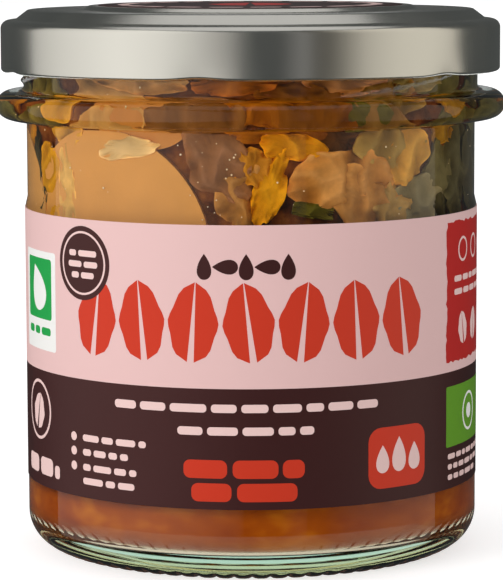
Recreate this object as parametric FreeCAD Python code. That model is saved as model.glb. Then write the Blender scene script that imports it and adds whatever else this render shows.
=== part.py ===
"""Kimchi jar: a straight-sided glass jar with a collar bead, closed by a twist-off metal lid.

Millimetres, +Z up. The origin is the middle of the circle that the jar stands on, and the
front of the wrap-round label faces -Y. Each sub-part is one solid in its own STEP file.
"""
import FreeCAD
import Part
import math
import os

# ---------------------------------------------------------------- glass jar
body_r = 38.7            # outside of the straight wall
wall_t = 2.4             # thickness of the straight wall
jar_h = 91.8             # standing plane to the rim
heel_r = 6.2             # round edge between the wall and the base
bearing_w = 3.0          # width of the ring that the jar stands on
punt_h = 1.4             # hollow under the base
floor_z = 4.4            # top of the glass floor at its edge
floor_rise = 0.9         # how far the middle of the floor swells
floor_edge_r = 4.5       # inside round between the floor and the wall

waist_in = 0.35          # how much narrower the wall is between the label and the bead, in radius
waist_rise = 1.5         # height over which it narrows
waist_clear = 0.3        # label's upper edge to where it starts to narrow
waist_round = 2.0        # rounds where it narrows

bead_out = 4.8           # how far the collar bead stands out from the wall
bead_drop = 15.8         # rim down to the bead's middle
bead_t = 4.7             # height of the bead
bead_hollow = 1.0        # how far the inside wall follows the bead outwards
neck_out = 0.1           # how much wider the neck is than the wall, in radius
bead_foot_r = 0.7        # hollow round under the bead
bead_top_r = 0.9         # hollow round above the bead
rim_outer_r = 1.4
rim_inner_r = 0.7

knurls = 72              # notches round the standing edge
knurl_cut_r = 1.0
knurl_depth = 0.35

# ---------------------------------------------------------------- twist-off lid
lid_t = 0.25             # tinplate
skirt_gap = 3.8          # neck to the outside of the lid
lid_h = 10.45            # lower edge to the top of the ring
ledge_drop = 1.85        # top of the ring down to the outer shoulder
slope_foot_drop = 1.6    # top of the ring down to the foot of its slope
shoulder_w = 2.5         # outside of the lid to the foot of the ring's slope
ring_inset = 0.8         # outside of the neck in to the edge of the top ring
panel_edge = 1.6         # rim of the raised middle panel outside its label
panel_step = 0.8         # width of the step round the panel
panel_rise = 0.65
shoulder_r = 1.45
curl_r = 0.64            # round of the rolled lower edge
curl_w = 1.3             # width of the rolled edge
curl_h = 1.4             # height of its inner leg
lugs = 6
lug_angle = 11.0         # degrees that one lug spans
lug_t = 0.9
lug_clear = 0.35         # lug tip to the neck
lug_turn = 19.0          # angle of the first lug from +X, in degrees
thread_t = 1.4           # height of a glass thread
thread_out = 1.7         # how far a thread stands out from the neck
thread_angle = 40.0
thread_gap = 0.1         # lug top to the underside of the thread above it

# ---------------------------------------------------------------- labels
paper_t = 0.12
label_low_z = 12.5
label_drop = 15.05       # underside of the bead down to the label's upper edge
label_gap = 8.0          # strip left open between the label's ends, at the back
seal_r = 26.0            # round label on the lid

# ---------------------------------------------------------------- kimchi
fill_drop = 3.1          # rim down to the level between the pieces that stick up
lumps = 14
lump_r = 12.0            # roundness of one piece
lump_rise = 1.8          # how far the tallest piece stands above the level

# ---------------------------------------------------------------- derived
inner_r = body_r - wall_t
bearing_r = body_r - heel_r - bearing_w
neck_r = body_r + neck_out
bead_r = body_r + bead_out
bead_z = jar_h - bead_drop
fill_z = jar_h - fill_drop
label_high_z = bead_z - bead_t / 2 - label_drop
waist_r = body_r - waist_in
waist_z = label_high_z + waist_clear
skirt_r = neck_r + skirt_gap
ring_r = neck_r - ring_inset
slope_foot_r = skirt_r - shoulder_w
panel_r = seal_r + panel_edge
ring_in_r = panel_r + panel_step
ring_z = jar_h + lid_t
panel_z = ring_z + panel_rise
lid_low_z = ring_z - lid_h
lug_low_z = lid_low_z + curl_h - lug_t / 2
thread_low_z = lug_low_z + lug_t + thread_gap
outputs = "parts"


def vec(r, z):
    """Point of a profile in the XZ half plane."""
    return FreeCAD.Vector(r, 0, z)


def offset_corners(corners, gap):
    """Corners of a profile moved sideways by gap to the right of its run, with rounds to suit."""
    count = len(corners)
    normals = []
    for (r0, z0, _), (r1, z1, _) in zip(corners, corners[1:]):
        length = math.hypot(r1 - r0, z1 - z0)
        normals.append(((z1 - z0) / length, -(r1 - r0) / length))
    moved = []
    for i, (r, z, fillet) in enumerate(corners):
        before = normals[max(i - 1, 0)]
        after = normals[min(i, count - 2)]
        scale = gap / (1 + before[0] * after[0] + before[1] * after[1])
        turn = before[0] * after[1] - before[1] * after[0]
        if fillet:
            fillet = fillet - gap if turn < 0 else fillet + gap
        moved.append((r + scale * (before[0] + after[0]), z + scale * (before[1] + after[1]), fillet))
    return moved


def rounded_edges(corners):
    """Edges through (r, z, fillet) corners, with a tangent arc at each corner that has a fillet."""
    edges = []
    here = vec(*corners[0][:2])
    for i in range(1, len(corners)):
        corner = vec(*corners[i][:2])
        fillet = corners[i][2] if i < len(corners) - 1 else 0
        if not fillet:
            edges.append(Part.makeLine(here, corner))
            here = corner
            continue
        back = (vec(*corners[i - 1][:2]) - corner).normalize()
        ahead = (vec(*corners[i + 1][:2]) - corner).normalize()
        half = back.getAngle(ahead) / 2
        reach = fillet / math.tan(half)
        start = corner + back * reach
        end = corner + ahead * reach
        middle = corner + (back + ahead).normalize() * (fillet / math.sin(half) - fillet)
        if (start - here).Length > 1e-6:
            edges.append(Part.makeLine(here, start))
        edges.append(Part.Arc(start, middle, end).toShape())
        here = end
    return edges


def turned(edges, angle=360.0):
    """Solid made by turning a closed profile round the Z axis."""
    face = Part.Face(Part.Wire(Part.__sortEdges__(edges)))
    return face.revolve(FreeCAD.Vector(0, 0, 0), FreeCAD.Vector(0, 0, 1), angle)


def turned_block(r0, r1, z0, z1, start, angle):
    """Piece of a ring from r0 to r1 and z0 to z1, starting at an angle from +X, in degrees."""
    corners = [(r0, z0, 0), (r1, z0, 0), (r1, z1, 0), (r0, z1, 0), (r0, z0, 0)]
    block = turned(rounded_edges(corners), angle)
    block.rotate(FreeCAD.Vector(0, 0, 0), FreeCAD.Vector(0, 0, 1), start)
    return block


def around(count):
    """Angles in degrees of count things spaced evenly in a circle."""
    return [360.0 * i / count for i in range(count)]


def inside_corners(top_z):
    """Profile of the jar's inside, from the wall at top_z down to the middle of the floor."""
    groove_half = bead_t / 2 + bead_hollow
    groove_r = inner_r + bead_hollow
    return [
        (inner_r, top_z, 0),
        (inner_r, bead_z + groove_half + bead_hollow, 3.0),
        (groove_r, bead_z + bead_t / 2, 3.0),
        (groove_r, bead_z - bead_t / 2, 3.0),
        (inner_r, bead_z - groove_half - bead_hollow, 3.0),
        (inner_r, floor_z, floor_edge_r),
        (0.62 * inner_r, floor_z, 12.0),
        (0.38 * inner_r, floor_z + floor_rise, 12.0),
        (0, floor_z + floor_rise, 0),
    ]


def make_glass():
    """Jar with its bead, threads and notched standing edge, blown as one piece of glass."""
    low = bead_z - bead_t / 2
    high = bead_z + bead_t / 2
    round_bead = 0.498 * bead_t
    outside = [
        (0, punt_h, 0),
        (bearing_r - 1.5 * punt_h, punt_h, 1.5),
        (bearing_r, 0, 0.8),
        (body_r, 0, heel_r),
        (body_r, waist_z, waist_round),
        (waist_r, waist_z + waist_rise, waist_round),
        (waist_r, low, bead_foot_r),
        (bead_r, low, round_bead),
        (bead_r, high, round_bead),
        (neck_r, high, bead_top_r),
        (neck_r, jar_h, rim_outer_r),
        (inner_r, jar_h, rim_inner_r),
    ]
    inside = inside_corners(jar_h)[1:]
    glass = turned(rounded_edges(outside + inside + [outside[0]]))
    for angle in around(lugs):
        start = lug_turn + angle - thread_angle / 2
        thread = turned_block(neck_r - 0.5, neck_r + thread_out, thread_low_z,
                              thread_low_z + thread_t, start, thread_angle)
        glass = glass.fuse(thread)
    return glass.cut(knurl_cutters())


def knurl_cutters():
    """Round bars that lie along the radius and cut the notches in the standing edge."""
    flat_edge = body_r - heel_r
    reach = 2.6
    rise = heel_r - math.sqrt(heel_r ** 2 - reach ** 2)
    start = FreeCAD.Vector(flat_edge - 1.2, 0, knurl_depth - knurl_cut_r - 0.12)
    end = FreeCAD.Vector(flat_edge + reach, 0, rise - knurl_cut_r + 0.1)
    bars = []
    for angle in around(knurls):
        bar = Part.makeCylinder(knurl_cut_r, (end - start).Length, start, end - start)
        bar.rotate(FreeCAD.Vector(0, 0, 0), FreeCAD.Vector(0, 0, 1), angle)
        bars.append(bar)
    return Part.makeCompound(bars)


def make_lid():
    """Pressed tinplate lid: raised panel, ring, sloped shoulder, rolled edge and inward lugs."""
    corners = [
        (0, panel_z, 0),
        (panel_r, panel_z, 0.5),
        (ring_in_r, ring_z, 0.5),
        (ring_r, ring_z, 0.8),
        (slope_foot_r, ring_z - slope_foot_drop, 0.6),
        (skirt_r, ring_z - ledge_drop, shoulder_r),
        (skirt_r, lid_low_z, curl_r),
        (skirt_r - curl_w, lid_low_z, curl_r),
        (skirt_r - curl_w, lid_low_z + curl_h, 0),
    ]
    inner = offset_corners(corners, lid_t)
    inner[0] = (0, panel_z - lid_t, 0)
    edges = rounded_edges(corners) + rounded_edges(inner)
    edges.append(Part.makeLine(vec(*corners[-1][:2]), vec(*inner[-1][:2])))
    edges.append(Part.makeLine(vec(0, panel_z), vec(0, panel_z - lid_t)))
    lid = turned(edges)
    for angle in around(lugs):
        lug = turned_block(neck_r + lug_clear, skirt_r - curl_w + lid_t / 2, lug_low_z,
                           lug_low_z + lug_t, lug_turn + angle - lug_angle / 2, lug_angle)
        lid = lid.fuse(lug)
    return lid


def make_wrap_label():
    """Paper label round the straight wall, open for a narrow strip at the back."""
    gap = math.degrees(label_gap / body_r)
    return turned_block(body_r, body_r + paper_t, label_low_z, label_high_z,
                        90 + gap / 2, 360 - gap)


def make_lid_label():
    """Round paper label on the lid's raised panel."""
    return Part.makeCylinder(seal_r, paper_t, FreeCAD.Vector(0, 0, panel_z))


def make_kimchi():
    """Kimchi and brine that fill the jar, with the top pieces standing a little above the level."""
    room = turned(rounded_edges([(0, jar_h, 0)] + inside_corners(jar_h) + [(0, jar_h, 0)]))
    fill = room.cut(Part.makeCylinder(bead_r, jar_h, FreeCAD.Vector(0, 0, fill_z)))
    golden = math.pi * (3 - math.sqrt(5))
    for i in range(lumps):
        spread = (inner_r - 0.45 * lump_r) * math.sqrt((i + 0.5) / lumps)
        rise = lump_rise * (0.55 + 0.45 * math.cos(2.3 * i))
        centre = FreeCAD.Vector(spread * math.cos(golden * i), spread * math.sin(golden * i),
                                fill_z + rise - lump_r)
        fill = fill.fuse(Part.makeSphere(lump_r, centre).common(room))
    return fill.removeSplitter()


makers = {
    "jar_glass": make_glass,
    "lid": make_lid,
    "wrap_label": make_wrap_label,
    "lid_label": make_lid_label,
    "kimchi": make_kimchi,
}
os.makedirs(outputs, exist_ok=True)
for name, make in makers.items():
    shape = make()
    if len(shape.Solids) != 1 or not shape.isValid():
        raise ValueError(name + " isn't one valid solid")
    shape.Solids[0].exportStep(os.path.join(outputs, name + ".step"))
    print(name, "volume", round(shape.Volume), "mm3")
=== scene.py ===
import bmesh
import bpy
import math
import random
from mathutils import Matrix, Vector, noise


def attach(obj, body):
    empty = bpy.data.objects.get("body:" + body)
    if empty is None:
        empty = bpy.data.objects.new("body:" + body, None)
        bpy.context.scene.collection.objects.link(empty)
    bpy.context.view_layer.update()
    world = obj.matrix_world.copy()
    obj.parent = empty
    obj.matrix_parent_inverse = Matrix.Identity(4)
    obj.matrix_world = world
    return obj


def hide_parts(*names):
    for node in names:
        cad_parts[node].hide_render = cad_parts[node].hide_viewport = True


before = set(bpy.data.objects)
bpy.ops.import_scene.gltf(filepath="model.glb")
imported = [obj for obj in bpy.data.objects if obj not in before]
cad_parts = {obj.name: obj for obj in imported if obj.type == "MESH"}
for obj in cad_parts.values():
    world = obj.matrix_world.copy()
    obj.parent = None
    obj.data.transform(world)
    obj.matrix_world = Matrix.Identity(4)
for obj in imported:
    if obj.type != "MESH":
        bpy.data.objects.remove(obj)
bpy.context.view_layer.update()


# ---------------------------------------------------------------------------
# Jar. Pressed soda-lime glass: a straight wall, a collar bead for the filling line to hold, a low
# neck with six threads, and a thick floor whose standing edge is knurled so that it grips the belt.
# ---------------------------------------------------------------------------
MM = 0.001

body_r = 38.7
waist_r = 38.35
inner_r = 36.3
jar_h = 91.8
neck_r = 38.8
bead_r = 43.48
bead_z = 76.0
bead_t = 4.7
floor_z = 4.4
floor_rise = 0.9
knurls = 72
knurl_depth = 0.33
thread_low, thread_high, thread_out = 83.65, 84.95, 1.7
first_thread = 19.0


def rounded(corners, step=8.0):
    """(r, z) points in mm through (r, z, fillet) corners, with an arc every step degrees."""
    points = [corners[0][:2]]
    for i in range(1, len(corners) - 1):
        corner = Vector(corners[i][:2])
        fillet = corners[i][2]
        if not fillet:
            points.append(tuple(corner))
            continue
        back = (Vector(corners[i - 1][:2]) - corner).normalized()
        ahead = (Vector(corners[i + 1][:2]) - corner).normalized()
        half = back.angle(ahead) / 2
        middle = corner + (back + ahead).normalized() * (fillet / math.sin(half))
        start = corner + back * (fillet / math.tan(half)) - middle
        turn = math.pi - 2 * half
        if start.y * back.x - start.x * back.y < 0:
            turn = -turn
        count = max(2, math.ceil(math.degrees(abs(turn)) / step))
        for k in range(count + 1):
            a = turn * k / count
            x = start.x * math.cos(a) - start.y * math.sin(a)
            y = start.x * math.sin(a) + start.y * math.cos(a)
            points.append((middle.x + x, middle.y + y))
    points.append(corners[-1][:2])
    return points


def finer(points, longest):
    """The same run of points with none further apart than longest mm."""
    out = [points[0]]
    for (r0, z0), (r1, z1) in zip(points, points[1:]):
        cuts = max(1, math.ceil(math.hypot(r1 - r0, z1 - z0) / longest))
        out += [(r0 + (r1 - r0) * k / cuts, z0 + (z1 - z0) * k / cuts) for k in range(1, cuts + 1)]
    return out


def lathe(name, points, segments, shape=None, smooth_angle=40):
    """Closed body turned round Z. The points start and end on the axis; shape may move each one."""
    verts, faces = [], []
    rows = []
    for r, z in points:
        if r < 1e-6:
            rows.append([len(verts)])
            verts.append((0, 0, z * MM))
            continue
        row = []
        for k in range(segments):
            a = 2 * math.pi * k / segments
            pr, pz = shape(r, z, a) if shape else (r, z)
            row.append(len(verts))
            verts.append((pr * math.cos(a) * MM, pr * math.sin(a) * MM, pz * MM))
        rows.append(row)
    for low, high in zip(rows, rows[1:]):
        for k in range(segments):
            n = (k + 1) % segments
            if len(low) == 1:
                faces.append((low[0], high[n], high[k]))
            elif len(high) == 1:
                faces.append((low[k], low[n], high[0]))
            else:
                faces.append((low[k], low[n], high[n], high[k]))
    return solid(name, verts, faces, smooth_angle)


def solid(name, verts, faces, smooth_angle=40):
    """Mesh object at the origin with its faces turned outwards and its flat edges kept sharp."""
    mesh = bpy.data.meshes.new(name)
    mesh.from_pydata(verts, [], faces)
    bm = bmesh.new()
    bm.from_mesh(mesh)
    bmesh.ops.recalc_face_normals(bm, faces=bm.faces)
    bm.to_mesh(mesh)
    bm.free()
    mesh.polygons.foreach_set("use_smooth", [True] * len(mesh.polygons))
    mesh.set_sharp_from_angle(angle=math.radians(smooth_angle))
    return linked(name, mesh)


def linked(name, data):
    """Object at the origin, in the scene, that shows a mesh, lamp or camera."""
    piece = bpy.data.objects.new(name, data)
    bpy.context.scene.collection.objects.link(piece)
    return piece


def srgb(hex_colour, alpha=1.0):
    """Linear colour of an sRGB hex value."""
    out = []
    for k in (1, 3, 5):
        c = int(hex_colour[k:k + 2], 16) / 255
        out.append(c / 12.92 if c <= 0.04045 else ((c + 0.055) / 1.055) ** 2.4)
    return (*out, alpha)


def add(tree, kind, settings=None, **sockets):
    """One node: settings are its own properties, sockets are values or links by socket name."""
    node = tree.nodes.new(kind)
    for key, value in (settings or {}).items():
        setattr(node, key, value)
    for key, value in sockets.items():
        name = key.replace("_", " ")
        socket = node.inputs[int(key[1:])] if key[0] == "i" and key[1:].isdigit() else node.inputs[name]
        if isinstance(value, bpy.types.NodeSocket):
            tree.links.new(value, socket)
        else:
            socket.default_value = value
    return node


def material(name):
    """Empty material with its node tree and its output node."""
    made = bpy.data.materials.new(name)
    made.use_nodes = True
    made.node_tree.nodes.clear()
    return made, made.node_tree, made.node_tree.nodes.new("ShaderNodeOutputMaterial")


def inside(top_z, grow):
    """Corners of the jar's inside from the middle of its floor up to top_z, moved out by grow mm."""
    r = inner_r + grow
    groove = r + 1.0
    half = bead_t / 2 + 1.0
    return [
        (0, floor_z + floor_rise - grow, 0),
        (0.38 * inner_r, floor_z + floor_rise - grow, 12.0),
        (0.62 * inner_r, floor_z - grow, 12.0),
        (r, floor_z - grow, 4.5),
        (r, bead_z - half - 1.0, 3.0),
        (groove, bead_z - bead_t / 2, 3.0),
        (groove, bead_z + bead_t / 2, 3.0),
        (r, bead_z + half + 1.0, 3.0),
        (r, top_z, 0.7),
    ]


def glass_shape(r, z, a):
    """Notches of the knurled standing edge, and the neck's threads with the tails that run down."""
    if r > 30 and z < 3.6:
        reach = max(0.0, 1 - abs(r - 33.6) / 3.0)
        notch = max(0.0, math.cos(knurls * a)) ** 2 * min(1.0, 2.2 * reach)
        return r - 0.5 * knurl_depth * notch * (z > 0.3), z + knurl_depth * notch
    if r > neck_r - 0.01 and thread_low <= z <= thread_high:
        off = (math.degrees(a) - first_thread + 30) % 60 - 30
        return r + thread_out * max(0.0, min(1.0, (20 - abs(off)) / 2.0)), z
    if r > neck_r - 0.01 and bead_z + 2 < z < thread_low - 0.2:
        along = (math.degrees(a) + 72) % 120 / 46
        if along < 1:
            rise = bead_z + 2.9 + 3.4 * along
            return r + 0.55 * math.sin(math.pi * along) ** 0.5 * math.exp(-((z - rise) / 0.42) ** 2), z
    return r, z


outside = [
    (0, 1.4, 0),
    (27.5, 1.4, 1.5),
    (29.5, 0, 0.8),
    (body_r, 0, 6.2),
    (body_r, 58.9, 2.0),
    (waist_r, 60.4, 2.0),
    (waist_r, bead_z - bead_t / 2, 0.7),
    (bead_r, bead_z - bead_t / 2, 0.498 * bead_t),
    (bead_r, bead_z + bead_t / 2, 0.498 * bead_t),
    (neck_r, bead_z + bead_t / 2, 0.9),
    (neck_r, thread_low - 0.01, 0),
    (neck_r, thread_low, 0),
    (neck_r, thread_high, 0),
    (neck_r, thread_high + 0.01, 0),
    (neck_r, jar_h, 1.4),
    (inner_r, jar_h, 0.7),
    (inner_r, jar_h - 3, 0),
]
outer_run = rounded(outside, 6)
heel_end = next(i for i, p in enumerate(outer_run) if p[1] > 6.5)
neck_foot = max(i for i, p in enumerate(outer_run) if p[1] < thread_low - 0.1 and p[0] > 38)
heel, wall = finer(outer_run[:heel_end], 0.7), outer_run[heel_end:neck_foot]
neck, finish = finer(outer_run[neck_foot:neck_foot + 2], 0.3), outer_run[neck_foot + 2:]
inner_run = rounded(inside(jar_h - 3, 0), 8)[:-1]
glass = lathe("jar_glass_wall", heel + wall + neck + finish + inner_run[::-1], 432, glass_shape, 50)


# Flint glass is clear, and its trace of iron only shows green where it is seen edge on, as in the
# floor. Where brine wets the inside there is no air behind it, so that face bends but doesn't shine.
# Its index of 1.45 is a little under the 1.52 of soda-lime glass, so the edges stay lighter.
def see_through(name, surface, straight, absorb, density):
    """Clear material that bends what is seen through it. Light on its way to the food goes straight
    through, because the bent path is too slow to find. surface(tree) gives the bending shader."""
    made, tree, out = material(name)
    ray = add(tree, "ShaderNodeLightPath")
    light = add(tree, "ShaderNodeMath", {"operation": "MAXIMUM"}, i0=ray.outputs["Is Shadow Ray"],
                i1=ray.outputs["Is Diffuse Ray"])
    passed = add(tree, "ShaderNodeBsdfTransparent", Color=srgb(straight))
    both = add(tree, "ShaderNodeMixShader", i0=light.outputs[0], i1=surface(tree), i2=passed.outputs[0])
    tree.links.new(both.outputs[0], out.inputs["Surface"])
    inner = add(tree, "ShaderNodeVolumeAbsorption", Color=srgb(absorb), Density=density)
    tree.links.new(inner.outputs[0], out.inputs["Volume"])
    return made


def jar_surface(tree):
    polished = add(tree, "ShaderNodeBsdfPrincipled", Base_Color=(1, 1, 1, 1), Roughness=0.0, IOR=1.45,
                   Transmission_Weight=1.0)
    wetted = add(tree, "ShaderNodeBsdfRefraction", Color=(1, 1, 1, 1), Roughness=0.0, IOR=1.45)
    where = add(tree, "ShaderNodeAttribute", {"attribute_name": "wet"})
    return add(tree, "ShaderNodeMixShader", i0=where.outputs["Fac"], i1=polished.outputs[0],
               i2=wetted.outputs[0]).outputs[0]


wet = glass.data.attributes.new("wet", "FLOAT", "FACE")
for k, face in enumerate(glass.data.polygons):
    c = face.center / MM
    facing_in = face.normal.x * c.x + face.normal.y * c.y < 0
    wet.data[k].value = float(facing_in and 8.0 < c.z < 87.5 and math.hypot(c.x, c.y) < 37.5)
glass.data.materials.append(see_through("flint_glass", jar_surface, "#fdfefd", "#cbe8d8", 26.0))
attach(glass, "root")
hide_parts("jar_glass")


# ---------------------------------------------------------------------------
# Brine. The thin chilli brine wets the whole wall, so it reaches just into the glass and no air
# shows there. Its colour comes from chilli and a little cloud.
# ---------------------------------------------------------------------------
brine_top = 87.6
brine = lathe("brine", rounded(inside(brine_top, 0.04) + [(0, brine_top, 0)], 8), 240)


def brine_surface(tree):
    return add(tree, "ShaderNodeBsdfRefraction", Color=srgb("#fff8ec"), Roughness=0.0, IOR=1.35).outputs[0]


brine.data.materials.append(see_through("chilli_brine", brine_surface, "#fffaf2", "#f7d71a", 190.0))
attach(brine, "root")
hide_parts("kimchi")


# ---------------------------------------------------------------------------
# Core. The close-packed cabbage, radish and chilli paste behind the pieces at the wall. It is
# thick and cloudy low down, where the fine bits settle, and stands back from the wall above.
# ---------------------------------------------------------------------------
def core_shape(r, z, a):
    """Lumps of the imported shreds, deeper where the brine is clear."""
    if r < 5:
        return r, z
    x, y = r * math.cos(a), r * math.sin(a)
    clear_share = min(1.0, max(0.0, (z - 36) / 16))
    lump = noise.noise(Vector((x, y, z * 1.5)) / 7.0) + 0.5 * noise.noise(Vector((x, y, z)) / 3.1)
    depth = 0.12 + clear_share * (2.3 + 1.5 * lump)
    return min(r, inner_r) - max(0.1, depth), z


core_top = 86.4
core_run = rounded(inside(core_top, -0.1)[:3] + [
    (inner_r, floor_z + 0.1, 4.5),
    (inner_r, core_top, 3.0),
    (0, core_top, 0)], 8)
core = lathe("packed_kimchi", finer(core_run, 1.2), 300, core_shape, 80)


def colour_ramp(tree, value, stops):
    """Colour by value, through stops of (place, linear colour)."""
    node = add(tree, "ShaderNodeValToRGB", Fac=value)
    while len(node.color_ramp.elements) < len(stops):
        node.color_ramp.elements.new(0.5)
    for stop, (place, colour) in zip(node.color_ramp.elements, stops):
        stop.position, stop.color = place, colour
    return node


def blotch(size):
    """Scale of a noise pattern whose blotches are size mm across."""
    return 1 / (size * MM)


# Low down it gives one warm orange with soft clouds, and above that paler shreds among dark patches of
# painted shade that stand for the hollows between them. It hardly shines under brine: the index of 1.1 is
# roughly flesh's over brine's.
paste, tree, out = material("packed_kimchi_and_chilli_paste")
spot = add(tree, "ShaderNodeTexCoord")
height = add(tree, "ShaderNodeSeparateXYZ", Vector=spot.outputs["Object"])
settled = add(tree, "ShaderNodeMapRange", Value=height.outputs["Z"], From_Min=0.040, From_Max=0.058)
stretch = add(tree, "ShaderNodeMapping", Vector=spot.outputs["Object"], Scale=(1, 1, 1.7))
clouds = add(tree, "ShaderNodeTexNoise", Vector=stretch.outputs[0], Scale=blotch(11.76), Detail=3.0,
             Roughness=0.55)
low_ramp = colour_ramp(tree, clouds.outputs["Fac"], (
    (0.34, srgb("#903c01")), (0.52, srgb("#a64f02")), (0.68, srgb("#c4700f"))))
bits = add(tree, "ShaderNodeTexNoise", Vector=spot.outputs["Object"], Scale=blotch(5.88), Detail=4.0,
           Roughness=0.6)
# The dark low stops of this ramp are painted shade for the hollows between the shreds.
high_ramp = colour_ramp(tree, bits.outputs["Fac"], (
    (0.32, srgb("#2c1407")), (0.50, srgb("#704024")), (0.70, srgb("#a8703c"))))
mixed = add(tree, "ShaderNodeMix", {"data_type": "RGBA"}, i0=settled.outputs[0],
            i6=low_ramp.outputs[0], i7=high_ramp.outputs[0])
skin = add(tree, "ShaderNodeBsdfPrincipled", Base_Color=mixed.outputs[2], Roughness=0.45, IOR=1.1)
tree.links.new(skin.outputs[0], out.inputs["Surface"])
core.data.materials.append(paste)
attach(core, "root")
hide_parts("kimchi")


# ---------------------------------------------------------------------------
# Cut vegetables at the wall: white cabbage, slices of radish and strips of leek. They lie pressed
# against the glass where the jar was packed, and fold and curl away from it at their edges.
# ---------------------------------------------------------------------------
wall_r = inner_r + 0.02


def leaf_outline(a, rnd):
    """Ragged edge of a torn cabbage leaf."""
    torn = 0.10 * noise.noise(Vector((3.4 * math.cos(a), 3.4 * math.sin(a), 60 * rnd[5])))
    return 1 + torn + sum(rnd[k] * math.cos((k + 2) * a + rnd[k + 5] * 60) for k in range(5))


def vegetable(made, angle, z, wide, tall, turn, deep, fold, ruffle, thick, colour, seed,
              kind="leaf", fine=60):
    """Adds one piece to made = (verts, faces, colours). Sizes are in mm and angles in degrees.
    deep is how far it lies from the wall, fold how much it waves, ruffle how much its edge does."""
    rnd = random.Random(seed)
    share = [rnd.uniform(-1, 1) * 0.16 / (1 + 0.5 * k) for k in range(5)] + [rnd.random() for _ in range(5)]
    rings = 12
    verts, faces, colours = made
    tint = Vector(srgb(colour)[:3])
    spin = math.radians(turn)

    def place(x, y, d):
        a = math.radians(angle - 90) + x / wall_r
        r = wall_r - max(0.0, d)
        return (r * math.cos(a) * MM, r * math.sin(a) * MM, (z + y) * MM)

    sides = []
    for side in (0, 1):
        index = []
        for i in range(rings + 1):
            rho = i / rings
            row = []
            for k in range(fine if i else 1):
                a = 2 * math.pi * k / fine
                if kind == "leaf":
                    edge = leaf_outline(a, share)
                elif kind == "strip":
                    edge = (abs(math.cos(a)) ** 7 + abs(math.sin(a)) ** 7) ** (-1 / 7)
                else:
                    edge = 1 + 0.02 * share[0] * math.cos(3 * a)
                x0 = rho * edge * math.cos(a) * wide / 2
                y0 = rho * edge * math.sin(a) * tall / 2
                x = x0 * math.cos(spin) - y0 * math.sin(spin)
                y = x0 * math.sin(spin) + y0 * math.cos(spin)
                warp = 1.6 * noise.noise(Vector((x / 6.0, y / 6.0, seed * 5.3)))
                crease = abs(noise.noise(Vector(((x + warp) / 4.6, (y + warp) / 6.0, seed * 3.7))))
                beat = Vector((2.3 * math.cos(a), 2.3 * math.sin(a), 2.2 * rho + seed * 1.3))
                frill = abs(noise.noise(beat))
                d = deep + fold * 2.6 * crease + ruffle * 3.0 * frill * rho ** 2.5
                if side:
                    d = max(0.0, d) + thick * (1 if rho < 0.99 else 0.55)
                row.append(len(verts))
                verts.append(place(x, y, d))
                # Each piece's colour varies a little at random. On leaves and strips a painted highlight
                # lightens the rim, and painted shade darkens the creases where the piece sinks away from the
                # wall.
                light = 0.96 + 0.05 * noise.noise(Vector((x / 5.0, y / 5.0, seed * 2.1)))
                if kind != "disc":
                    light += (0.25 * noise.noise(Vector((x / 3.0, y / 6.0, seed * 2.1))) + 0.40 * rho ** 11
                              - 0.45 * min(1.0, 1.6 * crease))
                colours.append((*(tint * light), 1.0))
            index.append(row)
        sides.append(index)
        for low, high in zip(index, index[1:]):
            for k in range(fine):
                n = (k + 1) % fine
                quad = (low[0], high[k], high[n]) if len(low) == 1 else (low[k], high[k], high[n], low[n])
                faces.append(quad[::-1] if side else quad)
    for k in range(fine):
        n = (k + 1) % fine
        faces.append((sides[0][-1][k], sides[1][-1][k], sides[1][-1][n], sides[0][-1][n]))


def tinted(name, made):
    """One mesh of all the pieces of a kind, with each piece's colour in the attribute tint, which also holds
    the painted rim highlight and crease shade.
    """
    verts, faces, colours = made
    piece = solid(name, verts, faces, 60)
    layer = piece.data.color_attributes.new("tint", "FLOAT_COLOR", "POINT")
    layer.data.foreach_set("color", [c for colour in colours for c in colour])
    return piece


def flesh(name, rough, vein, vein_share, grain):
    """Wet plant flesh: the colour in tint, which holds the pieces' painted rim highlight and crease shade,
    with veins and dents of the given sizes in mm. It shines little under brine, so the index is low, roughly
    flesh's over brine's."""
    made, tree, out = material(name)
    tint = add(tree, "ShaderNodeVertexColor", {"layer_name": "tint"})
    spot = add(tree, "ShaderNodeTexCoord")
    veins = add(tree, "ShaderNodeTexNoise", Vector=spot.outputs["Object"], Scale=blotch(vein),
                Detail=3.0, Roughness=0.6)
    vein_light = add(tree, "ShaderNodeMapRange", Value=veins.outputs["Fac"], From_Min=0.3,
                     From_Max=0.7, To_Min=1 - vein_share, To_Max=1 + vein_share)
    shade = add(tree, "ShaderNodeVectorMath", {"operation": "SCALE"}, Vector=tint.outputs[0],
                Scale=vein_light.outputs[0])
    dents = add(tree, "ShaderNodeTexNoise", Vector=spot.outputs["Object"], Scale=blotch(grain), Detail=2.0)
    bump = add(tree, "ShaderNodeBump", Height=dents.outputs["Fac"], Strength=0.25, Distance=0.0004)
    skin = add(tree, "ShaderNodeBsdfPrincipled", Base_Color=shade.outputs[0], Roughness=rough,
               IOR=1.15, Normal=bump.outputs[0])
    tree.links.new(skin.outputs[0], out.inputs["Surface"])
    return made


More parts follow.
